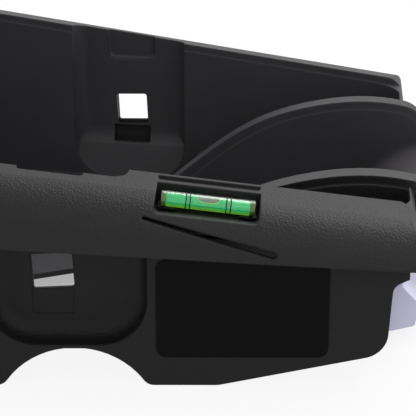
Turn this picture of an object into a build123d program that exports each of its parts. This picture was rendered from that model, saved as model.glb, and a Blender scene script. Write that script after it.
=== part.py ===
"""Stay-in-car base for an infant car seat: a two-shell tub with belt path, level vial and recline foot.

Frame: +X towards the vehicle's seat back (rear), +Z up, the left side is -Y. The origin is at the middle of
the base's footprint. Sizes are in millimetres.
"""
import os
from math import atan2, cos, degrees, radians, sin, tan

from build123d import *

# Overall
front_x = -230.0
rear_x = 230.0
half_width = 140.0  # from the middle to the belt-path web, measured at belt_x
belt_x = 40.0
side_taper = 5.0  # the side walls close in towards the rear
rim_height = 105.5  # rim's flat top at belt_x
rim_slope = 7.0
rim_tilt = 8.0  # the rim's top falls outward
lip_height = 73.5  # rim's lower lip at belt_x
lip_slope = 3.4
wall = 3.0
web = 2.8
seam = 0.5  # gap between the two shells' webs
clearance = 0.3

# Rim and tub
rim_overhang = 26.0
tub_inset = 13.0
shoulder_radius = 23.0
corner_radius = 44.0
rim_end_x = 213.0
rim_end_radius = 13.0
ledge_radius = 5.0
ledge_drop = 18.26  # the ledge behind the rim's ends, below the rim's top there
tub_floor = 11.0
step_x = 84.0  # behind this the floor is raised over the recline foot
raised_floor = 30.0
platform_radius = 49.0
platform_centre = (230.4, 11.5)
tongue_half_width = 82.0  # middle part that reaches back past the rim's ends
tongue_low = 50.0
band_height = 4.5  # set-back band along the rim's and the rails' top edges
band_step = 1.5

# Belt path
channel_half_width = 36.5
channel_corner = 22.0
channel_scoop = 8.0
notch_half_width = 15.5
notch_depth = 18.5
notch_reach = 0.5
notch_corner = 5.0
window_size = 20.0
window_corner = 1.5
window_height = 54.0
window_turn = 2.7
pocket_width = 24.0
pocket_height = 12.0
channel_ramp = 42.0  # where the channel's back starts to curve inward
ramp_run = 3.4
ramp_fall = 11.0
slot_x = 19.0
slot_half_length = 25.0
slot_inner_y = 39.0
slot_outer_y = 96.0
slot_skew = 13.5

# Skirt of the lower shell
skirt_offset = 14.0
skirt_overlap = 7.0  # how far the skirt reaches up inside the rim
recess_x = 47.5
recess_half_width = 38.0
recess_corner = 23.0
recess_floor = 21.0
recess_scoop = 9.0
flap_height = 14.0
flap_depth = 0.6
sill_step = 2.0  # the lower shell's window starts this much higher
arch_x = 51.6
arch_radius = 40.0
arch_rise = 19.7
arch_toe = 6.0
flat_end_x = 120.0
heel_x = 202.0
heel_lean = 2.0
heel_radius = 13.0
front_lean = 12.0
front_lean_top = 26.0
front_radius = 14.0
underside_rise = 11.7
flange_height = 52.0
flange_radius = 6.0
foot_flange = 12.0  # width of the turned-in bottom edge

# Carrier rails
rail_y = 68.0
rail_width = 12.0
rail_wall = 2.5
rail_start_x = 46.0
# Points on a rail's top curve: place, height, and how far an inset curve shifts rearward there
rail_crest = ((95.0, 49.0, 0.7), (127.0, 70.0, 0.4), (159.0, 80.5, 0), (191.0, 84.0, 0), (211.0, 82.0, 0))
rail_tail = (225.0, 67.0)
rail_tail_radius = 16.0

# Level vial, in the left rim
vial_x = 113.8
vial_length = 44.0
vial_radius = 4.2
vial_offset = 5.0  # outward from the belt-path web
vial_drop = 6.95  # below the rim's top
vial_wall = 0.8
vial_round = 0.3
plug_length = 2.2
bubble_length = 12.0
bubble_radius = 2.0
bubble_gap = 0.1
bubble_end_gap = 3.0  # liquid left beyond the bubble at each end of its travel
ring_width = 0.5
ring_depth = 0.12
ring_places = (-10.4, -8.5, 8.5, 10.6)
vial_pocket_length = 49.0
pocket_back = 3.5
pocket_corner = 2.5
pocket_floor = vial_radius + 1.4  # below the vial's axis
pocket_tilt = 12.0
shelf_drop = 2.4  # shelf behind the vial, below the rim's top
shelf_depth = 7.0
shelf_corner = 1.5
cradle_wall = 0.8
cradle_open = 2.6  # the cradle is open above this far below the vial's axis
saddle_length = 7.0
strip_width = 3.0
stop_radius = vial_radius + 0.7

# Tapered slot in the rim's face
groove_length = 62.0
groove_start = (84.5, 88.3)
groove_fall = 15.7
groove_narrow = 0.8
groove_wide = 1.7
groove_depth = 4.0  # deeper than the wall, so it is a slot

# Label plates
plate_length = 82.0
plate_height = 50.0
plate_x = 130.5
plate_bottom = 15.0
plate_corner = 5.0
plate_thick = 0.6

# Recline foot
pivot_x = 106.0
pivot_z = 14.0
pivot_radius = 4.0
pin_reach = 16.0  # length of a hinge pin inside the foot
pin_chamfer = 0.5
foot_half_width = 107.0
foot_bays = 3
foot_round = 2.0
foot_wall = 3.5
foot_top = 25.5
foot_heel = (203.5, 13.9)
nose_low = (214.5, 17.0)
nose_tip = (217.0, 28.0)
nose_top = (208.0, 37.5)
hub_radius = 10.5
running_gap = 0.05
ear_thick = 5.0
tread_length = 30.0
tread_thick = 1.2

# Bars, posts and pads
bar_radius = 4.0
front_bar = (-120.0, 52.0)
rear_bar = (160.0, 36.2)
clip_radius = 8.0
clip_thick = 1.5
rear_clip_radius = 5.6
bar_chamfer = 0.8
post_radius = 6.0
post_offset = 2.0
post_places = (-148.0, -75.0, 118.0, 182.0)
post_join = 50.0
screw_radius = 2.0
screw_length = 18.0
head_radius = 4.0
head_height = 2.6
seat_thick = 4.0
screw_recess = (1.6, 1.4)  # driver recess: radius and depth
pad_places = (-160.0, -30.0, 106.0)
pad_length = 26.0
pad_width = 9.0
pad_thick = 1.2
pad_corner = 3.0
rib_thick = 2.5
tie_places = (-150.0, -75.0, -20.0)
tie_width = 9.0

tall = 200.0
wide = 400.0
skirt_end_x = rim_end_x - wall - seam
ledge_height = rim_height - (rim_end_x - belt_x) * tan(radians(rim_slope)) - ledge_drop


def rise(angle, run):
    return run * tan(radians(angle))


def half_at(x, offset):
    return half_width - rise(side_taper, x - belt_x) + offset / cos(radians(side_taper))


def rim_top(x):
    return rim_height - rise(rim_slope, x - belt_x)


def lip_at(x):
    return lip_height - rise(lip_slope, x - belt_x)


def panel(side, offset=0.0, x=belt_x):
    """Upright plane along a side wall, offset outward from the belt-path web; side is -1 or 1."""
    turn = radians(side_taper)
    outward = Vector(sin(turn), side * cos(turn), 0)
    start = Vector(x, side * half_at(x, 0), 0) + outward * offset
    return Plane(origin=start, x_dir=(cos(turn), -side * sin(turn), 0), z_dir=outward * -side)


def along_wall(side):
    """Direction of a side wall towards the rear, falling with the rim."""
    turn = radians(side_taper)
    return Vector(cos(turn), -side * sin(turn), -tan(radians(rim_slope)) * cos(turn)).normalized()


def section(side, height=0.0):
    """Upright plane across a side wall at belt_x: local X is the offset outward, local Y the height."""
    turn = radians(side_taper)
    outward = Vector(sin(turn), side * cos(turn), 0)
    start = Vector(belt_x, side * half_width, height)
    return Plane(origin=start, x_dir=outward, z_dir=Vector(cos(turn), -side * sin(turn), 0) * side)


def shoulder(side, inset):
    """Everything under the rim's tilted top and round shoulder on one side, inset evenly."""
    tilt = radians(rim_tilt)
    radius = shoulder_radius - inset
    edge = rim_overhang - inset
    bend = rim_overhang - shoulder_radius + radius * sin(tilt)
    drop = inset / cos(tilt) / cos(radians(rim_slope))
    bend_height = -drop - rise(rim_tilt, bend + tub_inset)
    centre_height = bend_height - radius * cos(tilt)
    with BuildPart() as body:
        with BuildSketch(section(side, rim_height)) as cut:
            with BuildLine():
                far = -wide
                Line((far, -drop - rise(rim_tilt, far + tub_inset)), (bend, bend_height))
                TangentArc((bend, bend_height), (edge, centre_height), tangent=(cos(tilt), -sin(tilt)))
                Polyline((edge, centre_height), (edge, -wide), (far, -wide),
                         (far, -drop - rise(rim_tilt, far + tub_inset)))
            make_face()
        extrude(cut.sketch, amount=wide, dir=along_wall(side))
        extrude(cut.sketch, amount=wide, dir=along_wall(side) * -1)
    return body.part


def plan(offset, front=None, rear=rear_x, rear_radius=18.0):
    """Top outline of the tub, offset outward from the belt-path web."""
    start = front_x + rim_overhang - offset if front is None else front
    with BuildSketch() as outline:
        with BuildLine():
            Polyline(
                (start, -half_at(start, offset)),
                (rear, -half_at(rear, offset)),
                (rear, half_at(rear, offset)),
                (start, half_at(start, offset)),
                close=True,
            )
        make_face()
        if front is None:
            fillet(outline.vertices().group_by(Axis.X)[0], corner_radius + offset)
        fillet(outline.vertices().group_by(Axis.X)[-1], rear_radius)
    return outline.sketch


def envelope(inset, low=None):
    """Body under the rim's outer surface, inset evenly; low is None for the rim's own lower lip."""
    far = front_x - 20
    drop = inset / cos(radians(rim_slope))
    end = rim_end_x - inset
    back = rear_x - inset
    with BuildPart() as body:
        extrude(plan(rim_overhang - inset, rear=rear_x + 60), amount=tall)
        top = Plane(
            origin=(belt_x, 0, rim_height - drop),
            z_dir=(sin(radians(rim_slope)), 0, cos(radians(rim_slope))),
        )
        split(bisect_by=top, keep=Keep.BOTTOM)
        fillet(body.faces().sort_by(Axis.Z)[-1].edges(), shoulder_radius - inset)
        with BuildSketch(Plane.XZ) as side:
            with BuildLine():
                Polyline(
                    (far, lip_at(far) if low is None else low),
                    (far, rim_top(far) - drop),
                    (end, rim_top(end) - drop),
                    (end, ledge_height - inset),
                    (back, ledge_height - inset),
                    (back, lip_at(back) if low is None else low),
                    close=True,
                )
            make_face()
            crest = side.vertices().group_by(Axis.X)[-2].sort_by(Axis.Y)
            fillet(crest[-1], rim_end_radius - inset)
            fillet(side.vertices().group_by(Axis.X)[-2].sort_by(Axis.Y)[0], ledge_radius + inset)
        extrude(side.sketch, amount=wide, both=True, mode=Mode.INTERSECT)
        extrude(plan(rim_overhang - inset, rear=back), amount=tall, mode=Mode.INTERSECT)
        for side in (-1, 1):
            add(shoulder(side, inset), mode=Mode.INTERSECT)
            beyond = Align.MIN if side > 0 else Align.MAX
            with Locations((end, side * (tongue_half_width - inset), 0)):
                Box(wide, wide, 2 * tall, align=(Align.MIN, beyond, Align.CENTER), mode=Mode.SUBTRACT)
    return body.part


def tub_profile(inset):
    """Side view of the space above the tub's floor, lowered by inset."""
    centre_x, centre_z = platform_centre
    radius = platform_radius - inset
    foot_x = centre_x - (radius**2 - (raised_floor - inset - centre_z) ** 2) ** 0.5
    bend = radians(30)
    with BuildSketch(Plane.XZ) as side:
        with BuildLine():
            Polyline(
                (rear_x + tall, centre_z + radius),
                (rear_x + tall, 2 * tall),
                (-wide, 2 * tall),
                (-wide, tub_floor - inset),
                (step_x + inset, tub_floor - inset),
                (step_x + inset, raised_floor - inset),
                (foot_x, raised_floor - inset),
            )
            ThreePointArc(
                (foot_x, raised_floor - inset),
                (centre_x - radius * sin(bend), centre_z + radius * cos(bend)),
                (centre_x, centre_z + radius),
            )
            Line((centre_x, centre_z + radius), (rear_x + tall, centre_z + radius))
        make_face()
    return side.sketch


def rounded_slab(side, inner, outer, left, right, bottom, top, corner, edge=0.0):
    """Slab on a side wall between two offsets, with round lower corners and a round far lower edge."""
    with BuildPart() as slab:
        with BuildSketch(panel(side, inner)) as face:
            with BuildLine():
                Polyline((left, bottom), (right, bottom), (right, top), (left, top), close=True)
            make_face()
            fillet(face.vertices().group_by(Axis.Y)[0], corner)
        extrude(amount=-side * (outer - inner))
        if edge:
            far_face = slab.faces().sort_by(Axis.Y)[0 if side * (outer - inner) < 0 else -1]
            fillet(far_face.edges().sort_by(Axis.Z)[:-1], edge)
    return slab.part


def channel_back(side, shift):
    """What lies outside the belt channel's back, which curves inward to the tub's wall at the bottom."""
    with BuildPart() as body:
        with BuildSketch(section(side)) as cut:
            with BuildLine():
                Line((wide / 8, channel_ramp - shift), (shift - web, channel_ramp - shift))
                TangentArc((shift - web, channel_ramp - shift),
                           (shift - web - ramp_run, channel_ramp - ramp_fall - shift), tangent=(0, -1))
                Polyline(
                    (shift - web - ramp_run, channel_ramp - ramp_fall - shift),
                    (shift - tub_inset, tub_floor - shift),
                    (shift - tub_inset, -wide / 8),
                    (wide / 8, -wide / 8),
                    (wide / 8, channel_ramp - shift),
                )
            make_face()
        extrude(cut.sketch, amount=3 * channel_half_width, both=True)
    return body.part


def window(side, inner, outer, step=0.0):
    with BuildPart() as hole:
        with BuildSketch(panel(side, inner)):
            with Locations((0, window_height + step / 2)):
                RectangleRounded(window_size, window_size - step, window_corner, rotation=window_turn)
        extrude(amount=-side * (outer - inner))
    return hole.part


def rail_profile(inset, bottom):
    """Side view of a carrier rail, inset from its top curve."""
    with BuildSketch(Plane.XZ) as side:
        with BuildLine() as line:
            crest = Spline(
                (rail_start_x + inset * 2, bottom),
                *[(x + inset * lean, z - inset) for x, z, lean in rail_crest],
            )
            tail_end = (rail_tail[0] - inset, rail_tail[1] - inset)
            tail = RadiusArc(crest @ 1, tail_end, rail_tail_radius - inset)
            Polyline(tail @ 1, (rail_tail[0] - inset, bottom), crest @ 0)
        make_face()
    return side.sketch


def rail(side, half, inset, bottom):
    with BuildPart() as body:
        extrude(rail_profile(inset, bottom).moved(Location((0, side * rail_y, 0))), amount=half, both=True)
    return body.part


def post_centre(side, x):
    return panel(side, post_offset, x).origin


def pad_plane(side, x):
    spot = panel(side, skirt_offset - wall - foot_flange / 2 + 1, x)
    return Plane(origin=spot.origin, x_dir=spot.x_dir, z_dir=(0, 0, 1))


def skirt_profile():
    """Side view of the lower shell, open-ended upwards."""
    wall_x = front_x + rim_overhang - skirt_offset
    with BuildSketch(Plane.XZ) as side:
        with BuildLine():
            Polyline(
                (wall_x + front_lean, 0),
                (flat_end_x, 0),
                (heel_x - heel_lean, rise(underside_rise, heel_x - heel_lean - flat_end_x)),
                (heel_x, flange_height - 0.5),
                (skirt_end_x, flange_height + wall),
                (skirt_end_x, tall),
                (wall_x, tall),
                (wall_x, front_lean_top),
                close=True,
            )
        make_face()
        lower = side.vertices().sort_by(Axis.Y)
        fillet(lower[0:2], front_radius)
        near_heel = (heel_x - 2 * heel_lean, heel_x - heel_lean / 2)
        fillet(side.vertices().filter_by_position(Axis.X, *near_heel), heel_radius)
        fillet(side.vertices().filter_by_position(Axis.X, heel_x - 0.1, heel_x + 0.1), flange_radius)
    return side.sketch


with BuildPart() as upper_shell:
    add(envelope(0))
    add(envelope(wall, low=0), mode=Mode.SUBTRACT)
    # Tub: a solid trough under the rim's surface, then hollowed from above and from below
    with BuildPart(mode=Mode.PRIVATE) as trough:
        extrude(plan(wall - tub_inset, rear=rim_end_x).moved(Location((0, 0, tub_floor - wall))),
                amount=tall)
        with Locations((step_x, 0, tongue_low)):
            Box(rear_x - step_x, 2 * tongue_half_width, tall, align=(Align.MIN, Align.CENTER, Align.MIN))
        add(envelope(0, low=0), mode=Mode.INTERSECT)
    add(trough.part)
    with BuildPart(mode=Mode.PRIVATE) as tub_space:
        extrude(plan(-tub_inset, rear=rim_end_x - wall), amount=tall)
        with Locations((step_x, 0, 0)):
            Box(wide, 2 * (tongue_half_width - wall), tall, align=(Align.MIN, Align.CENTER, Align.MIN))
        extrude(tub_profile(0), amount=wide, both=True, mode=Mode.INTERSECT)
    add(tub_space.part, mode=Mode.SUBTRACT)
    # Set-back band along the rim's inner top edge
    with BuildPart(mode=Mode.PRIVATE) as band:
        extrude(plan(band_step - tub_inset, rear=rim_end_x + tall), amount=tall)
        band_plane = Plane(
            origin=(belt_x, 0, rim_height - band_height),
            z_dir=(sin(radians(rim_slope)), 0, cos(radians(rim_slope))),
        )
        split(bisect_by=band_plane, keep=Keep.TOP)
    add(band.part, mode=Mode.SUBTRACT)
    # Carrier rails, hollow from below, and the space for the recline foot under the raised floor
    for side in (-1, 1):
        add(rail(side, rail_width / 2, 0, tub_floor - wall))
        add(rail(side, rail_width / 2 + band_step, band_height, tub_floor - wall))
    with BuildPart(mode=Mode.PRIVATE) as foot_space:
        extrude(plan(wall - tub_inset + 0.1, front=step_x + wall, rear=rear_x - wall), amount=tall)
        extrude(tub_profile(wall), amount=wide, both=True, mode=Mode.SUBTRACT)
        for side in (-1, 1):
            beyond = Align.MIN if side > 0 else Align.MAX
            with Locations((rim_end_x, side * (tongue_half_width - wall), 0)):
                Box(wide, wide, 2 * tall, align=(Align.MIN, beyond, Align.CENTER), mode=Mode.SUBTRACT)
    add(foot_space.part, mode=Mode.SUBTRACT)
    for side in (-1, 1):
        add(rail(side, rail_width / 2 - rail_wall, band_height + rail_wall, tub_floor - 2 * wall),
            mode=Mode.SUBTRACT)
    # Belt channel, rim notch and strap window on each side
    under_rim = envelope(wall / 2, low=0)
    for side in (-1, 1):
        with BuildPart(mode=Mode.PRIVATE) as channel_walls:
            reach = channel_half_width + wall
            add(rounded_slab(side, wall - tub_inset - 1, 0, -reach, reach, tub_floor - wall, tall,
                             channel_corner + wall))
            add(channel_back(side, web), mode=Mode.SUBTRACT)
            reach = notch_half_width + wall
            add(rounded_slab(side, -web, notch_reach + wall, -reach, reach, rim_height - notch_depth - wall,
                             tall, notch_corner))
            add(under_rim, mode=Mode.INTERSECT)
        add(channel_walls.part)
    for side in (-1, 1):
        with BuildPart(mode=Mode.PRIVATE) as channel:
            add(rounded_slab(side, -2 * tub_inset, -web, -channel_half_width, channel_half_width, tub_floor,
                             tall, channel_corner, channel_scoop))
            add(channel_back(side, 0), mode=Mode.SUBTRACT)
        add(channel.part, mode=Mode.SUBTRACT)
        add(rounded_slab(side, -2 * tub_inset, notch_reach, -notch_half_width, notch_half_width,
                         rim_height - notch_depth, tall, notch_corner, 2.0), mode=Mode.SUBTRACT)
        add(window(side, -tub_inset, 2 * web), mode=Mode.SUBTRACT)
        window_foot = window_height - window_size / 2
        add(rounded_slab(side, -tub_inset, web, -pocket_width / 2, pocket_width / 2,
                         window_foot - pocket_height, window_foot - 1, 1), mode=Mode.SUBTRACT)
        # Strap slot through the tub's floor
        with BuildSketch(Plane.XY.offset(tub_floor - 2 * wall)):
            with BuildLine():
                Polyline(
                    (slot_x - slot_half_length, side * (slot_inner_y + slot_skew)),
                    (slot_x + slot_half_length, side * (slot_inner_y - slot_skew)),
                    (slot_x + slot_half_length, side * slot_outer_y),
                    (slot_x - slot_half_length, side * slot_outer_y),
                    close=True,
                )
            make_face()
        extrude(amount=3 * wall, mode=Mode.SUBTRACT)
    # Screw posts hanging from the rim
    for side in (-1, 1):
        for x in post_places:
            centre = post_centre(side, x)
            with Locations(Location((centre.X, centre.Y, post_join))):
                post_top = rim_top(x) - rise(rim_tilt, tub_inset + post_offset) - wall / 2
                Cylinder(post_radius - 0.5, post_top - post_join,
                         align=(Align.CENTER, Align.CENTER, Align.MIN))
                Cylinder(screw_radius + running_gap, screw_length,
                         align=(Align.CENTER, Align.CENTER, Align.MIN), mode=Mode.SUBTRACT)
    # Bores for the latch bars: the front one through both tub walls, the rear one through the rails
    for x, z, reach in ((*front_bar, half_at(front_bar[0], 0)), (*rear_bar, rail_y)):
        with Locations(Location((x, 0, z), (90, 0, 0))):
            Cylinder(bar_radius + running_gap, 2 * reach, mode=Mode.SUBTRACT)
    # Vial pocket in the left rim, with its own walls inside the rim and a shelf behind the vial
    pocket_axis = Location((0, rim_top(vial_x) - vial_drop, 0), (0, 0, -rim_slope))
    pocket_inner = pocket_back - tub_inset
    floor_fall = rise(pocket_tilt, vial_offset - pocket_inner - shelf_depth)
    with BuildPart(mode=Mode.PRIVATE) as pocket_walls:
        with BuildSketch(panel(-1, pocket_inner - 1, vial_x)):
            with Locations(pocket_axis):
                with Locations((0, -pocket_floor - floor_fall - web)):
                    Rectangle(vial_pocket_length + 2 * web, 30, align=(Align.CENTER, Align.MIN))
        extrude(amount=wide / 8)
        add(under_rim, mode=Mode.INTERSECT)
    add(pocket_walls.part)
    turn = radians(side_taper)
    pocket_lean = Vector(-sin(turn), cos(turn), -tan(radians(pocket_tilt))).normalized() * -1
    for inner, floor, corner in (
        (pocket_inner, vial_drop - shelf_drop, shelf_corner),
        (pocket_inner + shelf_depth, -pocket_floor - floor_fall, pocket_corner),
    ):
        with BuildPart(mode=Mode.PRIVATE) as pocket:
            with BuildSketch(panel(-1, inner, vial_x)) as pocket_face:
                with Locations(pocket_axis):
                    with Locations((0, floor)):
                        Rectangle(vial_pocket_length, 40, align=(Align.CENTER, Align.MIN))
                fillet(pocket_face.vertices().sort_by(Axis.Y)[:2], corner)
            extrude(pocket_face.sketch, amount=wide / 8, dir=pocket_lean)
        add(pocket.part, mode=Mode.SUBTRACT)
    # Tapered slot in the left rim's face, below the vial
    with BuildPart(mode=Mode.PRIVATE) as groove:
        with BuildSketch(panel(-1, vial_offset, groove_start[0])):
            with Locations(Location((0, groove_start[1], 0), (0, 0, -groove_fall))):
                Circle(groove_narrow)
                with Locations((groove_length, 0)):
                    Circle(groove_wide)
            make_hull()
        extrude(amount=wide / 8)
        add(envelope(groove_depth, low=0), mode=Mode.SUBTRACT)
    add(groove.part, mode=Mode.SUBTRACT)
upper_shell.part.label = "upper_shell"


with BuildPart() as lower_shell:
    extrude(plan(skirt_offset, rear=rear_x - wall - clearance), amount=tall)
    extrude(skirt_profile(), amount=wide, both=True, mode=Mode.INTERSECT)
    # Cavity, open upwards
    with BuildPart(mode=Mode.PRIVATE) as cavity:
        extrude(plan(skirt_offset - wall, rear=rear_x), amount=tall)
        with BuildSketch(Plane.XZ) as cavity_side:
            add(skirt_profile())
            offset(amount=-wall)
            with Locations((0, tall)):
                Rectangle(2 * wide, 2 * (tall - rim_height))
        extrude(cavity_side.sketch, amount=wide, both=True, mode=Mode.INTERSECT)
    add(cavity.part, mode=Mode.SUBTRACT)
    # Open bottom with a turned-in edge
    extrude(plan(skirt_offset - wall - foot_flange, rear=flat_end_x - foot_flange), amount=2 * wall,
            mode=Mode.SUBTRACT)
    # Belt recess on each side
    for side in (-1, 1):
        shift = recess_x - belt_x
        left = shift - recess_half_width
        right = shift + recess_half_width
        add(rounded_slab(side, seam, skirt_offset - 1, left - wall, right + wall, recess_floor - wall,
                         lip_at(belt_x + right) + skirt_overlap - 1, recess_corner + wall))
    for side in (-1, 1):
        add(rounded_slab(side, 2 * skirt_offset, seam + web, left, right, recess_floor, tall,
                         recess_corner, recess_scoop), mode=Mode.SUBTRACT)
        add(window(side, 0, skirt_offset, sill_step), mode=Mode.SUBTRACT)
        flap_top = window_height - window_size / 2 + sill_step + 1
        add(rounded_slab(side, seam + web - flap_depth, skirt_offset, -window_size / 2, window_size / 2,
                         flap_top - flap_height, flap_top, 1), mode=Mode.SUBTRACT)
    # Arch cut-out through both side walls
    with BuildSketch(Plane.XZ) as arch:
        with Locations((arch_x, arch_rise - arch_radius)):
            Circle(arch_radius)
        with Locations((arch_x, 0)):
            Rectangle(wide, wide / 8, align=(Align.CENTER, Align.MAX))
        fillet(arch.vertices().filter_by_position(Axis.X, arch_x - arch_radius, arch_x + arch_radius)
               .filter_by_position(Axis.Y, -1, 1), arch_toe)
    extrude(arch.sketch, amount=wide, both=True, mode=Mode.SUBTRACT)
    hinge_rib_x = pivot_x - hub_radius - rib_thick - 2
    # Opening for the recline foot, through the sloped underside and the end wall
    with Locations((hinge_rib_x, 0, -1)):
        Box(wide, 2 * (foot_half_width + ear_thick), nose_top[1] + 2 * wall,
            align=(Align.MIN, Align.CENTER, Align.MIN), mode=Mode.SUBTRACT)
    # Room for the tub's rear end
    with Locations((heel_x - 3 * wall, 0, nose_top[1])):
        Box(wide, 2 * (half_at(heel_x, wall - tub_inset) + 1), tall,
            align=(Align.MIN, Align.CENTER, Align.MIN), mode=Mode.SUBTRACT)
    # Tie strips under the tub's floor, and the rib in front of the foot's hinge
    for x in tie_places:
        with Locations((x, 0, wall)):
            Box(tie_width, 2 * half_at(x, skirt_offset - wall / 2), tub_floor - 2 * wall - clearance,
                align=(Align.CENTER, Align.CENTER, Align.MIN))
    rib_height = raised_floor - wall - clearance
    with Locations((hinge_rib_x, 0, 0)):
        Box(rib_thick, 2 * half_at(hinge_rib_x, skirt_offset - wall / 2), rib_height,
            align=(Align.CENTER, Align.CENTER, Align.MIN))
    # Hinge ears for the foot
    for side in (-1, 1):
        with Locations((hinge_rib_x, side * (foot_half_width + clearance), 0)):
            Box(pivot_x - hinge_rib_x + hub_radius, ear_thick, rib_height,
                align=(Align.MIN, Align.MIN if side > 0 else Align.MAX, Align.MIN))
        with Locations((hinge_rib_x, side * (foot_half_width + clearance + ear_thick - rib_thick), 0)):
            Box(heel_x - hinge_rib_x - 5 * wall, rib_thick, rib_height,
                align=(Align.MIN, Align.MIN if side > 0 else Align.MAX, Align.MIN))
    with Locations(Location((pivot_x, 0, pivot_z), (90, 0, 0))):
        Cylinder(pivot_radius + 0.02, 2 * (foot_half_width + 2 * clearance + ear_thick), mode=Mode.SUBTRACT)
    # Screw posts
    for side in (-1, 1):
        for x in post_places:
            centre = post_centre(side, x)
            with Locations(Location((centre.X, centre.Y, 0))):
                Cylinder(post_radius, post_join, align=(Align.CENTER, Align.CENTER, Align.MIN))
                Cylinder(head_radius + 0.6, post_join - seat_thick,
                         align=(Align.CENTER, Align.CENTER, Align.MIN), mode=Mode.SUBTRACT)
                Cylinder(screw_radius + clearance, post_join,
                         align=(Align.CENTER, Align.CENTER, Align.MIN), mode=Mode.SUBTRACT)
    extrude(skirt_profile(), amount=wide, both=True, mode=Mode.INTERSECT)
    # Recesses for the anti-slip pads
    for side in (-1, 1):
        for x in pad_places:
            with BuildSketch(pad_plane(side, x)):
                RectangleRounded(pad_length + clearance, pad_width + clearance, pad_corner)
            extrude(amount=pad_thick, mode=Mode.SUBTRACT)
    # Trim to the space inside the rim
    add(envelope(wall + seam, low=-1), mode=Mode.INTERSECT)
    lip_plane = Plane(
        origin=(belt_x, 0, lip_height + skirt_overlap),
        z_dir=(sin(radians(lip_slope)), 0, cos(radians(lip_slope))),
    )
    split(bisect_by=lip_plane, keep=Keep.BOTTOM)
lower_shell.part.label = "lower_shell"

# Level vial: clear tube, liquid, bubble, end plugs and printed rings, lying along the rim's slope
vial_centre = panel(-1, vial_offset, vial_x).origin + Vector(0, 0, rim_top(vial_x) - vial_drop)
vial_direction = along_wall(-1)
vial_frame = Plane(origin=vial_centre, x_dir=(0, 0, 1), z_dir=vial_direction)


def along_vial(distance):
    return vial_frame.offset(distance)


def vial_disc(start, length, radius, bore=0.0):
    """Round piece on the vial's axis, from start to start + length."""
    with BuildPart() as disc:
        with BuildSketch(along_vial(start)):
            Circle(radius)
            if bore:
                Circle(bore, mode=Mode.SUBTRACT)
        extrude(amount=length)
    return disc.part


liquid_length = vial_length - 2 * plug_length
liquid_radius = vial_radius - vial_wall
bubble_travel = 0.5 * (liquid_length - bubble_length) - bubble_end_gap
bubble_rise = liquid_radius - bubble_radius - 3.5 * bubble_gap

with BuildPart() as level_vial:
    add(vial_disc(-vial_length / 2, vial_length, vial_radius, liquid_radius))
    fillet(level_vial.edges().filter_by(GeomType.CIRCLE).sort_by(Axis.X)[0], vial_round)
level_vial.part.label = "level_vial"

with BuildPart() as front_plug:
    add(vial_disc(-vial_length / 2, plug_length, liquid_radius))
front_plug.part.label = "front_plug"

with BuildPart() as rear_plug:
    add(vial_disc(vial_length / 2 - plug_length, plug_length, liquid_radius))
rear_plug.part.label = "rear_plug"


def bubble_solid(stretch, gap):
    """Capsule under the vial's upper wall, lengthened by stretch at both ends and grown by gap."""
    reach = bubble_length / 2 - bubble_radius + stretch
    up = Vector(0, 0, 1) - vial_direction * Vector(0, 0, 1).dot(vial_direction)
    centre = vial_centre + up.normalized() * bubble_rise
    with BuildPart() as capsule:
        with BuildSketch(Plane(origin=centre - vial_direction * reach, z_dir=vial_direction)):
            Circle(bubble_radius + gap)
        extrude(amount=2 * reach)
        for end in (-reach, reach):
            with Locations(centre + vial_direction * end):
                Sphere(bubble_radius + gap)
    return capsule.part


with BuildPart() as vial_liquid:
    add(vial_disc(-liquid_length / 2, liquid_length, liquid_radius))
    add(bubble_solid(bubble_travel, bubble_gap), mode=Mode.SUBTRACT)
vial_liquid.part.label = "vial_liquid"

with BuildPart() as level_bubble:
    add(bubble_solid(0, 0))
level_bubble.part.label = "level_bubble"

with BuildPart() as vial_rings:
    for place in ring_places:
        add(vial_disc(place - ring_width / 2, ring_width, vial_radius + ring_depth, vial_radius))
vial_rings.part.label = "vial_rings"

# Cradle: a trough under the vial with two upright end stops
cradle_radius = vial_radius + clearance
with BuildPart() as vial_cradle:
    for start in (-vial_length / 2, vial_length / 2 - saddle_length):
        add(vial_disc(start, saddle_length, cradle_radius + cradle_wall, cradle_radius))
    with BuildSketch(along_vial(-vial_length / 2)):
        with Locations((-cradle_radius - cradle_wall / 2, 0)):
            Rectangle(cradle_wall - 0.2, strip_width)
    extrude(amount=vial_length)
    front_stop = -vial_length / 2 - cradle_wall - clearance
    for start, link in ((front_stop, 0), (vial_length / 2 + clearance, clearance)):
        add(vial_disc(start, cradle_wall, stop_radius))
        add(vial_disc(start - link, cradle_wall + clearance, stop_radius, cradle_radius - 0.8))
    # Open above the vial
    open_plane = Plane(
        origin=vial_centre - Vector(0, 0, cradle_open),
        z_dir=(sin(radians(rim_slope)), 0, cos(radians(rim_slope))),
    )
    split(bisect_by=open_plane, keep=Keep.BOTTOM)
vial_cradle.part.label = "vial_cradle"

# Bare label plates on the skirt
plates = {}
for side, name in ((-1, "left_plate"), (1, "right_plate")):
    with BuildPart() as plate:
        with BuildSketch(panel(side, skirt_offset)):
            with Locations((plate_x - belt_x, plate_bottom + plate_height / 2)):
                RectangleRounded(plate_length, plate_height, plate_corner)
        extrude(amount=-side * plate_thick)
    plate.part.label = name
    plates[name] = plate

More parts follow.
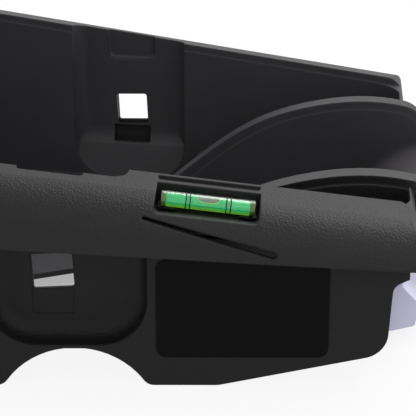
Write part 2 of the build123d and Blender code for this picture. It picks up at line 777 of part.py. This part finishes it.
# Recline foot: hollow wedge, open upwards, with an upturned nose past the end wall
with BuildPart() as recline_foot:
    back_x = nose_top[0] - 3 * foot_wall
    hub_low = pivot_z - hub_radius
    with BuildSketch(Plane.XZ) as foot_side:
        with BuildLine():
            Polyline(
                (pivot_x, hub_low),
                foot_heel,
                nose_low,
                nose_tip,
                nose_top,
                (back_x, nose_top[1]),
                (back_x, foot_top),
                (pivot_x, foot_top - 1),
                close=True,
            )
        make_face()
        fillet(foot_side.vertices().sort_by(Axis.X)[-4:], foot_round)
        with Locations((pivot_x, pivot_z)):
            Circle(hub_radius)
    extrude(foot_side.sketch, amount=foot_half_width, both=True)
    bay_width = (2 * foot_half_width - (foot_bays + 1) * foot_wall) / foot_bays
    core_front = pivot_x + hub_radius + foot_wall
    foot_slope = (foot_heel[1] - hub_low) / (foot_heel[0] - pivot_x)
    with BuildSketch(Plane.XZ) as foot_core:
        with BuildLine():
            Polyline(
                (core_front, hub_low + foot_slope * (core_front - pivot_x) + foot_wall),
                (foot_heel[0], foot_heel[1] + foot_wall),
                (nose_low[0] - foot_wall, nose_low[1] + foot_wall),
                (nose_tip[0] - foot_wall, nose_tip[1] - 1),
                (nose_top[0] - 1, nose_top[1] - foot_wall),
                (back_x + foot_wall, nose_top[1] - foot_wall),
                (back_x + foot_wall, foot_top + 1),
                (back_x - 3 * foot_wall, foot_top + 5),
                (core_front, foot_top + 5),
                close=True,
            )
        make_face()
    for bay in range(foot_bays):
        middle = (bay - (foot_bays - 1) / 2) * (bay_width + foot_wall)
        extrude(foot_core.sketch.moved(Location((0, middle, 0))), amount=bay_width / 2, both=True,
                mode=Mode.SUBTRACT)
    for side in (-1, 1):
        with Locations(Location((pivot_x, side * foot_half_width, pivot_z), (90, 0, 0))):
            Cylinder(pivot_radius + running_gap, 2 * (pin_reach + 4 * clearance), mode=Mode.SUBTRACT)
recline_foot.part.label = "recline_foot"

pins = {}
for side, name in ((-1, "left_foot_pin"), (1, "right_foot_pin")):
    with BuildPart() as pin:
        start = side * (foot_half_width - pin_reach)
        with Locations(Location((pivot_x, start, pivot_z), (-90 * side, 0, 0))):
            Cylinder(pivot_radius, pin_reach + clearance + ear_thick,
                     align=(Align.CENTER, Align.CENTER, Align.MIN))
        chamfer(pin.edges().filter_by(GeomType.CIRCLE), pin_chamfer)
    pin.part.label = name
    pins[name] = pin

# Tread pad under the foot, near its nose
with BuildPart() as foot_tread:
    with BuildSketch(Plane.XZ) as tread_side:
        tread_x = foot_heel[0] - tread_length / 2
        with Locations(Location((tread_x, hub_low + foot_slope * (tread_x - pivot_x), 0),
                                (0, 0, degrees(atan2(foot_slope, 1))))):
            with Locations((0, -0.2)):
                Rectangle(tread_length, tread_thick)
    extrude(tread_side.sketch, amount=foot_half_width - 12, both=True)
    add(recline_foot.part, mode=Mode.SUBTRACT)
foot_tread.part.label = "foot_tread"

# Carrier latch bars with push-on clips
bars = {}
for name, (x, z), half in (
    ("front_latch_bar", front_bar, half_at(front_bar[0], -tub_inset + 3 * wall)),
    ("rear_latch_bar", rear_bar, rail_y - 1),
):
    with BuildPart() as bar:
        with Locations(Location((x, 0, z), (90, 0, 0))):
            Cylinder(bar_radius, 2 * half)
        chamfer(bar.edges().filter_by(GeomType.CIRCLE), bar_chamfer)
    bar.part.label = name
    bars[name] = bar

clips = {}
for name, (x, z), face in (
    ("front_bar_clips", front_bar, half_at(front_bar[0] - clip_radius, -tub_inset + wall) + clearance),
    ("rear_bar_clips", rear_bar, rail_y - rail_width / 2 + rail_wall + clearance),
):
    with BuildPart() as clip:
        for side in (-1, 1):
            with Locations(Location((x, side * face, z), (-90 * side, 0, 0))):
                Cylinder(clip_radius if "front" in name else rear_clip_radius, clip_thick,
                         align=(Align.CENTER, Align.CENTER, Align.MIN))
                Cylinder(bar_radius + 0.02, clip_thick, align=(Align.CENTER, Align.CENTER, Align.MIN),
                         mode=Mode.SUBTRACT)
    clip.part.label = name
    clips[name] = clip

# Screws up through the posts of the lower shell into those of the upper shell
with BuildPart() as shell_screws:
    for side in (-1, 1):
        for x in post_places:
            centre = post_centre(side, x)
            with Locations(Location((centre.X, centre.Y, post_join - seat_thick - head_height))):
                Cylinder(head_radius, head_height, align=(Align.CENTER, Align.CENTER, Align.MIN))
                Cylinder(screw_radius, head_height + seat_thick + screw_length - 2,
                         align=(Align.CENTER, Align.CENTER, Align.MIN))
                Cylinder(*screw_recess, align=(Align.CENTER, Align.CENTER, Align.MIN), mode=Mode.SUBTRACT)
shell_screws.part.label = "shell_screws"

# Anti-slip pads under the turned-in edge
with BuildPart() as base_pads:
    for side in (-1, 1):
        for x in pad_places:
            with BuildSketch(pad_plane(side, x)):
                RectangleRounded(pad_length, pad_width, pad_corner)
            extrude(amount=pad_thick)
base_pads.part.label = "base_pads"

pieces = [upper_shell, lower_shell, level_vial, vial_liquid, level_bubble, vial_rings]
pieces += [front_plug, rear_plug, vial_cradle, recline_foot, foot_tread, shell_screws, base_pads]
pieces += [*plates.values(), *pins.values(), *bars.values(), *clips.values()]
os.makedirs("parts", exist_ok=True)
for piece in pieces:
    export_step(piece.part, f"parts/{piece.part.label}.step")
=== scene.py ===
import bpy
import bmesh
import math
from mathutils import Vector, Matrix


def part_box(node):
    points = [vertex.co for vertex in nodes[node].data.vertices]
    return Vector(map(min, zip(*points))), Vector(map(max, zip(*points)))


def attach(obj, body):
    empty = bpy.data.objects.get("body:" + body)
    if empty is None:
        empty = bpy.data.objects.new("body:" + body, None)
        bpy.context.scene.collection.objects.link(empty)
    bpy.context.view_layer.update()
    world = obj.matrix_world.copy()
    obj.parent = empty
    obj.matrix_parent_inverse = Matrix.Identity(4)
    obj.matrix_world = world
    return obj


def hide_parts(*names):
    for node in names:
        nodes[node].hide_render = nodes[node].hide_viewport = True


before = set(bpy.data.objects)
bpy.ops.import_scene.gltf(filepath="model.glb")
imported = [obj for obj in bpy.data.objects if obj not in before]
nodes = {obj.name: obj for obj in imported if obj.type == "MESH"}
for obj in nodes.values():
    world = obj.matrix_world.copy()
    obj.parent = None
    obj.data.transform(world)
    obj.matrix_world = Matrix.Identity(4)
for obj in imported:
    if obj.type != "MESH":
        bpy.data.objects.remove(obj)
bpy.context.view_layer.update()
print("frame loaded:", len(nodes), "nodes")

mm = 0.001

# camera

cameraPlace = {
    "beltX": 40.0,  # belt path's middle, along the base
    "offset": (134.0, -794.6, 327.3),
    "pitch": 20.0,
    "yaw": 5.2,
    "roll": 0.0,
    "lens": 129.8,
    "sensor": 36,
    "clip": (0.05, 20),
}


def addCamera():
    cam = bpy.data.cameras.new("camera")
    cam.lens = cameraPlace["lens"]
    cam.sensor_width = cameraPlace["sensor"]
    cam.clip_start, cam.clip_end = cameraPlace["clip"]
    obj = bpy.data.objects.new("camera", cam)
    bpy.context.scene.collection.objects.link(obj)
    dx, dy, dz = cameraPlace["offset"]
    obj.location = Vector((dx + cameraPlace["beltX"], dy, dz)) * mm
    p, y = math.radians(cameraPlace["pitch"]), math.radians(cameraPlace["yaw"])
    look = Vector((-math.sin(y) * math.cos(p), math.cos(y) * math.cos(p), -math.sin(p)))
    turn = look.to_track_quat("-Z", "Y").to_matrix()
    roll = Matrix.Rotation(math.radians(cameraPlace["roll"]), 3, "Z")
    obj.rotation_euler = (turn @ roll).to_euler()
    bpy.context.scene.camera = obj


addCamera()
print("camera placed")


# material helpers

def newMaterial(name):
    mat = bpy.data.materials.new(name)
    mat.use_nodes = True
    tree = mat.node_tree
    return mat, tree, tree.nodes["Principled BSDF"]


def link(tree, a, outName, b, inName):
    tree.links.new(a.outputs[outName], b.inputs[inName])


def objectCoords(tree, scale=(1, 1, 1)):
    coords = tree.nodes.new("ShaderNodeTexCoord")
    mapping = tree.nodes.new("ShaderNodeMapping")
    mapping.inputs["Scale"].default_value = scale
    link(tree, coords, "Object", mapping, "Vector")
    return mapping


def noise(tree, coords, scale, detail=3.0, rough=0.5):
    n = tree.nodes.new("ShaderNodeTexNoise")
    n.inputs["Scale"].default_value = scale
    n.inputs["Detail"].default_value = detail
    n.inputs["Roughness"].default_value = rough
    link(tree, coords, "Vector", n, "Vector")
    return n


def ramp(tree, source, outName, low, high):
    r = tree.nodes.new("ShaderNodeMapRange")
    r.inputs["To Min"].default_value = low
    r.inputs["To Max"].default_value = high
    link(tree, source, outName, r, "Value")
    return r


def mixColour(tree, factor, factorOut, low, high):
    m = tree.nodes.new("ShaderNodeMix")
    m.data_type = "RGBA"
    m.inputs["A"].default_value = (*low, 1)
    m.inputs["B"].default_value = (*high, 1)
    tree.links.new(factor.outputs[factorOut], m.inputs["Factor"])
    return m


grainedPlastic = {
    "rim": {
        "outer": (0.0098, 0.0092, 0.0102),
        "inner": (0.0400, 0.0375, 0.0410),  # faces inside the tub are painted paler than the outer ones: painted light standing in for light the inside walls lack
        "rough": 0.48, "grain": 0.55, "gloss": 0.26, "edge": 0.0014,
    },
    "skirt": {
        "outer": (0.0068, 0.0064, 0.0066),
        # the skirt's inner colour is painted paler too: painted light inside the base
        "inner": (0.0160, 0.0150, 0.0160),
        "rough": 0.50, "grain": 0.45, "gloss": 0.20, "edge": 0.0016,
    },
}

grainPattern = {
    "pebbleScale": 900,
    "pitScale": 2600,
    "pitShare": 0.55,
    "blotchScale": 26,
    "depth": 0.00035,
    "insideShare": 0.16,  # how much of the grain the inner faces keep
    "blotchRange": (0.86, 1.16),
    "roughSpread": 0.06,
    "outsideSpan": (-0.02, 0.04),  # where a face turns from an inner to an outer one
    "outsideStretch": (0.35, 1, 0),
}


# moulded leather grain: pebbles and fine pits on outer faces, finer on the inner ones; the inner faces also
# take a paler colour, which is painted light
def mouldedPlastic(name, look):
    mat, tree, shader = newMaterial(name)
    coords = objectCoords(tree)
    pebbles = tree.nodes.new("ShaderNodeTexVoronoi")
    pebbles.feature = "SMOOTH_F1"
    pebbles.inputs["Scale"].default_value = grainPattern["pebbleScale"]
    pebbles.inputs["Smoothness"].default_value = 0.6
    link(tree, coords, "Vector", pebbles, "Vector")
    pits = noise(tree, coords, grainPattern["pitScale"], 2, 0.6)
    blotches = noise(tree, coords, grainPattern["blotchScale"], 4, 0.55)
    height = tree.nodes.new("ShaderNodeMath")
    height.operation = "MULTIPLY_ADD"
    height.inputs[1].default_value = grainPattern["pitShare"]
    link(tree, pits, "Fac", height, 0)
    link(tree, pebbles, "Distance", height, 2)
    # outer faces look away from the middle of the tub
    geometry = tree.nodes.new("ShaderNodeNewGeometry")
    outward = tree.nodes.new("ShaderNodeVectorMath")
    outward.operation = "MULTIPLY"
    outward.inputs[1].default_value = grainPattern["outsideStretch"]
    link(tree, coords, "Vector", outward, 0)
    facing = tree.nodes.new("ShaderNodeVectorMath")
    facing.operation = "DOT_PRODUCT"
    link(tree, outward, "Vector", facing, 0)
    link(tree, geometry, "Normal", facing, 1)
    outside = tree.nodes.new("ShaderNodeMapRange")
    span = grainPattern["outsideSpan"]
    outside.inputs["From Min"].default_value, outside.inputs["From Max"].default_value = span
    link(tree, facing, "Value", outside, "Value")
    strength = ramp(tree, outside, "Result", look["grain"] * grainPattern["insideShare"], look["grain"])
    bump = tree.nodes.new("ShaderNodeBump")
    bump.inputs["Distance"].default_value = grainPattern["depth"]
    softEdge = tree.nodes.new("ShaderNodeBevel")  # moulded edges catch a thin line of light
    softEdge.samples = 4
    softEdge.inputs["Radius"].default_value = look["edge"]
    link(tree, softEdge, "Normal", bump, "Normal")
    link(tree, strength, "Result", bump, "Strength")
    link(tree, height, "Value", bump, "Height")
    link(tree, bump, "Normal", shader, "Normal")
    # painted light: faces inside the tub take the paler inner colour, standing in for light the inside walls
    # lack
    tint = mixColour(tree, outside, "Result", look["inner"], look["outer"])
    darker, paler = grainPattern["blotchRange"]
    for place, socket in (("inner", "A"), ("outer", "B")):
        low, high = [c * darker for c in look[place]], [c * paler for c in look[place]]
        patchy = mixColour(tree, blotches, "Fac", low, high)
        link(tree, patchy, "Result", tint, socket)
    link(tree, tint, "Result", shader, "Base Color")
    spread = grainPattern["roughSpread"]
    rough = ramp(tree, blotches, "Fac", look["rough"] - spread, look["rough"] + spread)
    link(tree, rough, "Result", shader, "Roughness")
    shader.inputs["Specular IOR Level"].default_value = look["gloss"]
    return mat


satinGrain = {"fine": 700, "broad": 60, "depth": 0.0002, "roughSpread": 0.08}


# plain finishes with a little noise in colour and roughness
def satinFinish(name, colour, rough, metal=0.0, gloss=0.5, bumpStrength=0.12, spread=0.1, stretch=(1, 1, 1)):
    mat, tree, shader = newMaterial(name)
    coords = objectCoords(tree, stretch)
    fine = noise(tree, coords, satinGrain["fine"], 3)
    broad = noise(tree, coords, satinGrain["broad"], 3)
    low, high = [c * (1 - spread) for c in colour], [min(1, c * (1 + spread)) for c in colour]
    tint = mixColour(tree, broad, "Fac", low, high)
    link(tree, tint, "Result", shader, "Base Color")
    change = satinGrain["roughSpread"]
    roughness = ramp(tree, fine, "Fac", max(0.03, rough - change), min(1, rough + change))
    link(tree, roughness, "Result", shader, "Roughness")
    bump = tree.nodes.new("ShaderNodeBump")
    bump.inputs["Strength"].default_value = bumpStrength
    bump.inputs["Distance"].default_value = satinGrain["depth"]
    link(tree, fine, "Fac", bump, "Height")
    link(tree, bump, "Normal", shader, "Normal")
    shader.inputs["Metallic"].default_value = metal
    shader.inputs["Specular IOR Level"].default_value = gloss
    return mat


def clearPlastic(name, colour, ior, rough, gloss=0.25):
    mat, tree, shader = newMaterial(name)
    coords = objectCoords(tree)
    waves = noise(tree, coords, 300, 2)
    tint = mixColour(tree, waves, "Fac", [c * 0.97 for c in colour], colour)
    link(tree, tint, "Result", shader, "Base Color")
    roughness = ramp(tree, waves, "Fac", rough * 0.6, rough * 1.4)
    link(tree, roughness, "Result", shader, "Roughness")
    shader.inputs["Transmission Weight"].default_value = 1.0
    shader.inputs["IOR"].default_value = ior
    shader.inputs["Specular IOR Level"].default_value = gloss
    return mat


def paint(nodeName, mat):
    data = nodes[nodeName].data
    data.materials.clear()
    data.materials.append(mat)


rimPlastic = mouldedPlastic("rimPlastic", grainedPlastic["rim"])
skirtPlastic = mouldedPlastic("skirtPlastic", grainedPlastic["skirt"])
footPlastic = satinFinish("footPlastic", (0.68, 0.66, 0.87), 0.42, gloss=0.5, spread=0.04)
padRubber = satinFinish("padRubber", (0.02, 0.02, 0.021), 0.8, gloss=0.3, bumpStrength=0.4)
pinSteel = satinFinish("pinSteel", (0.52, 0.52, 0.53), 0.3, metal=1.0)
barSteel = satinFinish("barSteel", (0.13, 0.13, 0.135), 0.38, metal=1.0, stretch=(1, 0.05, 1))
clipSteel = satinFinish("clipSteel", (0.13, 0.13, 0.135), 0.4, metal=1.0)
screwSteel = satinFinish("screwSteel", (0.3, 0.3, 0.31), 0.4, metal=1.0)
plateFilm = satinFinish("plateFilm", (0.0030, 0.0029, 0.0030), 0.34, gloss=0.06, bumpStrength=0.03)
cradlePlastic = satinFinish("cradlePlastic", (0.012, 0.012, 0.012), 0.5, gloss=0.35)
ringInk = satinFinish("ringInk", (0.004, 0.004, 0.004), 0.5, gloss=0.3)
vialAcrylic = clearPlastic("vialAcrylic", (0.93, 1.0, 0.93), 1.42, 0.01)
plugPlastic = satinFinish("plugPlastic", (0.16, 0.30, 0.035), 0.3, gloss=0.5)
bubbleAir = satinFinish("bubbleAir", (0.5, 0.5, 0.5), 0.3)


finishes = {
    "upper_shell": rimPlastic, "lower_shell": skirtPlastic, "recline_foot": footPlastic,
    "foot_tread": padRubber, "base_pads": padRubber, "left_foot_pin": pinSteel, "right_foot_pin": pinSteel,
    "front_latch_bar": barSteel, "rear_latch_bar": barSteel, "front_bar_clips": clipSteel,
    "rear_bar_clips": clipSteel, "shell_screws": screwSteel,
    "left_plate": plateFilm, "right_plate": plateFilm,
    "level_vial": vialAcrylic, "vial_liquid": plugPlastic, "level_bubble": bubbleAir, "vial_rings": ringInk,
    "front_plug": plugPlastic, "rear_plug": plugPlastic, "vial_cradle": cradlePlastic,
}
for nodeName, finish in finishes.items():
    paint(nodeName, finish)
print("finishes on", len(finishes), "nodes")


# vial: the liquid and the bubble pressed against the top of its tube

vial = {
    "liquidRadius": 3.3,
    "liquidLength": 39.4,
    "endRound": 0.5,
    "topColour": (0.0, 0.40, 0.125),
    "lowColour": (0.20, 0.52, 0.03),
    "glow": 0.42,  # painted glow: emission standing in for light passing through the liquid
    "bubbleLength": 11.6,
    "bubbleSpread": 74,  # degrees round the tube on each side
    "bubbleInner": 3.32,
    "bubbleOuter": 3.37,
    "rimShare": 0.17,
    "colourLean": -0.3,  # the two colours part along a line that leans outward
    "colourSpan": (-2.9, -1.2),  # and change between these heights from the axis
    "swirl": 0.15,
}


def vialFrame():
    frontPlug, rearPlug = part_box("front_plug"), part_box("rear_plug")
    start = (Vector(frontPlug[0]) + Vector(frontPlug[1])) / 2
    end = (Vector(rearPlug[0]) + Vector(rearPlug[1])) / 2
    along = (end - start).normalized()
    up = (Vector((0, 0, 1)) - along * along.z).normalized()
    return (start + end) / 2, along, up, along.cross(up)


def addMesh(name, verts, faces, mats, faceMats=None):
    mesh = bpy.data.meshes.new(name)
    mesh.from_pydata([tuple(v) for v in verts], [], faces)
    mesh.update()
    for mat in mats:
        mesh.materials.append(mat)
    for i, poly in enumerate(mesh.polygons):
        poly.use_smooth = True
        if faceMats:
            poly.material_index = faceMats[i]
    obj = bpy.data.objects.new(name, mesh)
    bpy.context.scene.collection.objects.link(obj)
    return obj


def glowingLiquid():
    mat, tree, shader = newMaterial("vialLiquid")
    centre, along, up, across = vialFrame()
    coords = tree.nodes.new("ShaderNodeTexCoord")
    height = tree.nodes.new("ShaderNodeVectorMath")
    height.operation = "DOT_PRODUCT"
    rising = up + across * vial["colourLean"]
    height.inputs[1].default_value = rising
    link(tree, coords, "Object", height, 0)
    level = tree.nodes.new("ShaderNodeMapRange")
    middle = centre.dot(rising)
    lowest, highest = vial["colourSpan"]
    level.inputs["From Min"].default_value = middle + lowest * mm
    level.inputs["From Max"].default_value = middle + highest * mm
    link(tree, height, "Value", level, "Value")
    swirl = noise(tree, objectCoords(tree), 220, 2)
    wobble = ramp(tree, swirl, "Fac", -vial["swirl"], vial["swirl"])
    mixed = tree.nodes.new("ShaderNodeMath")
    mixed.operation = "ADD"
    mixed.use_clamp = True
    link(tree, level, "Result", mixed, 0)
    link(tree, wobble, "Result", mixed, 1)
    tint = mixColour(tree, mixed, "Value", vial["lowColour"], vial["topColour"])
    link(tree, tint, "Result", shader, "Base Color")
    # painted glow: the liquid's two colours also go into emission, standing in for light through the tube
    link(tree, tint, "Result", shader, "Emission Color")
    shader.inputs["Emission Strength"].default_value = vial["glow"]
    shader.inputs["Roughness"].default_value = 0.25
    return mat


def addLiquid():
    centre, along, up, across = vialFrame()
    half = vial["liquidLength"] / 2 * mm
    radius, soft = vial["liquidRadius"] * mm, vial["endRound"] * mm
    stations = [(-half, radius - soft), (-half + soft * 0.3, radius - soft * 0.3), (-half + soft, radius)]
    stations += [(half - soft, radius), (half - soft * 0.3, radius - soft * 0.3), (half, radius - soft)]
    around = 48
    verts, faces = [], []
    for place, size in stations:
        for k in range(around):
            turn = 2 * math.pi * k / around
            verts.append(centre + along * place + (up * math.cos(turn) + across * math.sin(turn)) * size)
    for i in range(len(stations) - 1):
        for k in range(around):
            a, b = i * around + k, i * around + (k + 1) % around
            faces.append((a, a + around, b + around, b))
    faces.append(list(range(around)))
    faces.append(list(range(len(verts) - 1, len(verts) - around - 1, -1)))
    liquid = addMesh("green_liquid", verts, faces, [glowingLiquid()])
    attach(liquid, "base")
    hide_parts("vial_liquid")


def addBubble():
    centre, along, up, across = vialFrame()
    half = vial["bubbleLength"] / 2
    columns, rows = 40, 24
    verts, faces, looks = [], [], []
    for radius in (vial["bubbleOuter"], vial["bubbleInner"]):
        for i in range(columns + 1):
            place = -math.cos(math.pi * i / columns) * half * 0.999
            spread = math.radians(vial["bubbleSpread"]) * (1 - abs(place / half) ** 3.2) ** 0.45 + 0.01
            for j in range(rows + 1):
                turn = spread * (2 * j / rows - 1)
                side = up * math.cos(turn) + across * math.sin(turn)
                verts.append(centre + along * place * mm + side * radius * mm)
    count = (columns + 1) * (rows + 1)
    for i in range(columns):
        for j in range(rows):
            a = i * (rows + 1) + j
            faces.append((a, a + 1, a + rows + 2, a + rows + 1))
            place = abs(math.cos(math.pi * (i + 0.5) / columns))
            turn = 2 * (j + 0.5) / rows - 1
            atRim = place > 1 - vial["rimShare"] * 0.55 or abs(turn) > 1 - vial["rimShare"]
            # look 0 is the painted glint strip, 1 the dull painted reflection, 2 the green rim
            looks.append(2 if atRim else (0 if abs(turn + 0.25) < 0.34 else 1))
            faces.append((count + a, count + a + rows + 1, count + a + rows + 2, count + a + 1))
            looks.append(1)
    for i in range(columns):
        for j, flip in ((0, False), (rows, True)):
            a, b = i * (rows + 1) + j, (i + 1) * (rows + 1) + j
            quad = (a, b, count + b, count + a)
            faces.append(tuple(reversed(quad)) if flip else quad)
            looks.append(2)
    for j in range(rows):
        for i, flip in ((0, True), (columns, False)):
            a = i * (rows + 1) + j
            quad = (a, a + 1, count + a + 1, count + a)
            faces.append(tuple(reversed(quad)) if flip else quad)
            looks.append(2)
    # the bubble's look is painted reflection: a silver strip of painted glint, dull grey painted reflection
    # over the rest, and a green rim
    paintedGlint = satinFinish("bubblePaintedGlint", (0.85, 0.86, 0.84), 0.12, spread=0.05, bumpStrength=0.0)
    paintedDullReflection = satinFinish("bubblePaintedDullReflection", (0.22, 0.25, 0.21), 0.15, spread=0.1, bumpStrength=0.0)
    edge = satinFinish("bubbleEdge", (0.22, 0.8, 0.12), 0.2, spread=0.05, bumpStrength=0.0)
    bubble = addMesh("air_bubble", verts, faces, [paintedGlint, paintedDullReflection, edge], looks)
    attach(bubble, "bubble")
    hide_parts("level_bubble")


addLiquid()
addBubble()
print("vial filled")


# studio

studio = {
    "floorSize": 6.0,
    "floorColour": (0.86, 0.86, 0.86),
    "floorGlow": 0.9,  # share of plain white that the camera sees in the floor
    "paintedShadowGlow": 0.4,  # and in the painted shadow under the base
    "paintedShadowReach": (0.03, 0.10),  # the painted shadow is a strip along the floor's whole length, fading out this far from its middle line
    "worldLight": 0.66,
    "keyPower": 14.0,
    "keySize": (1.2, 0.8),
    "keyPlace": (0.7, 0.5, 1.25),
    "fillPower": 2.0,
    "fillSize": (1.0, 0.6),
    "fillPlace": (0.9, -1.0, 0.9),
    "aim": (0, 0, 0.05),
}


def seenDirectly(tree):
    path = tree.nodes.new("ShaderNodeLightPath")
    inMirror = tree.nodes.new("ShaderNodeMath")
    inMirror.operation = "MAXIMUM"
    link(tree, path, "Is Camera Ray", inMirror, 0)
    link(tree, path, "Is Glossy Ray", inMirror, 1)
    inGlass = tree.nodes.new("ShaderNodeMath")
    inGlass.operation = "MAXIMUM"
    link(tree, inMirror, "Value", inGlass, 0)
    link(tree, path, "Is Transmission Ray", inGlass, 1)
    return inGlass


def addFloor():
    bm = bmesh.new()
    bmesh.ops.create_grid(bm, x_segments=8, y_segments=8, size=studio["floorSize"] / 2)
    mesh = bpy.data.meshes.new("floor")
    bm.to_mesh(mesh)
    bm.free()
    floor = bpy.data.objects.new("floor", mesh)
    floor.location.z = -0.0002
    bpy.context.scene.collection.objects.link(floor)
    mat, tree, shader = newMaterial("floorPaper")
    shader.inputs["Base Color"].default_value = (*studio["floorColour"], 1)
    shader.inputs["Roughness"].default_value = 0.9
    shader.inputs["Specular IOR Level"].default_value = 0.1
    glow = tree.nodes.new("ShaderNodeEmission")
    blend = tree.nodes.new("ShaderNodeMixShader")
    seen = seenDirectly(tree)
    share = tree.nodes.new("ShaderNodeMath")
    share.operation = "MULTIPLY"
    link(tree, seen, "Value", share, 0)
    # painted shadow: the white share drops in a strip near the floor's middle line, standing in for shade
    # under the base
    spot = tree.nodes.new("ShaderNodeSeparateXYZ")
    link(tree, objectCoords(tree), "Vector", spot, "Vector")
    away = tree.nodes.new("ShaderNodeMath")
    away.operation = "ABSOLUTE"
    link(tree, spot, "Y", away, 0)
    paintedShadow = ramp(tree, away, "Value", studio["paintedShadowGlow"], studio["floorGlow"])
    paintedShadow.inputs["From Min"].default_value, paintedShadow.inputs["From Max"].default_value = studio["paintedShadowReach"]
    link(tree, paintedShadow, "Result", share, 1)
    link(tree, share, "Value", blend, 0)
    link(tree, shader, "BSDF", blend, 1)
    link(tree, glow, "Emission", blend, 2)
    link(tree, blend, "Shader", tree.nodes["Material Output"], "Surface")
    mesh.materials.append(mat)


def addWorld():
    world = bpy.data.worlds.new("studio")
    bpy.context.scene.world = world
    world.use_nodes = True
    tree = world.node_tree
    back = tree.nodes["Background"]
    back.inputs["Color"].default_value = (1, 1, 1, 1)
    seen = seenDirectly(tree)
    level = tree.nodes.new("ShaderNodeMapRange")
    level.inputs["To Min"].default_value = studio["worldLight"]
    level.inputs["To Max"].default_value = 1.0
    link(tree, seen, "Value", level, "Value")
    link(tree, level, "Result", back, "Strength")


def addLamp(name, power, size, place):
    lamp = bpy.data.lights.new(name, "AREA")
    lamp.shape = "RECTANGLE"
    lamp.size, lamp.size_y = size
    lamp.energy = power
    obj = bpy.data.objects.new(name, lamp)
    obj.location = place
    obj.rotation_euler = (Vector(studio["aim"]) - Vector(place)).to_track_quat("-Z", "Y").to_euler()
    bpy.context.scene.collection.objects.link(obj)


addFloor()
addWorld()
for lampName in ("key", "fill"):
    power, size, place = (studio[lampName + part] for part in ("Power", "Size", "Place"))
    addLamp(lampName + "Lamp", power, size, place)
scene = bpy.context.scene
scene.view_settings.view_transform = "Standard"
print("studio lit")
